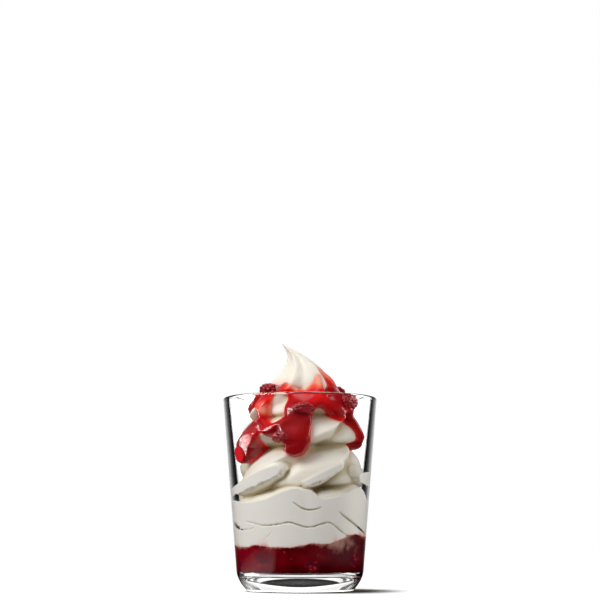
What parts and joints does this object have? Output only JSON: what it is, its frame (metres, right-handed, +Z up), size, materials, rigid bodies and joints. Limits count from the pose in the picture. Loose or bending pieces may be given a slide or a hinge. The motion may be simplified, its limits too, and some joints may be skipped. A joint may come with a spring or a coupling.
{
  "type": "strawberry ice cream sundae in a glass tumbler",
  "caption": "Clear tumbler with a layer of red berry sauce under swirled soft serve, whose curled peak stands above the rim with sauce and berries poured over it.",
  "frame": {"origin": "under the middle of the tumbler's foot, on the surface that it stands on", "axes": "+Z up along the tumbler's axis, -Y towards the front that the picture shows, +X to its right"},
  "size_m": [0.0822, 0.0822, 0.1312],
  "materials": {
    "glass": "clear, smooth and polished",
    "soft_serve": "creamy white, smooth, slightly moist",
    "berry_sauce": "clear red syrup, wet and glossy",
    "berry": "dark red drupelets, wet and glossy"
  },
  "bodies": {
    "root": {"tumbler": "glass", "berry_sauce_layer": "berry_sauce", "soft_serve": "soft_serve", "berry_sauce_top": "berry_sauce", "berry_1": "berry", "berry_2": "berry", "berry_3": "berry", "berry_4": "berry", "berry_5": "berry", "berry_6": "berry", "berry_7": "berry"}
  },
  "joints": []
}
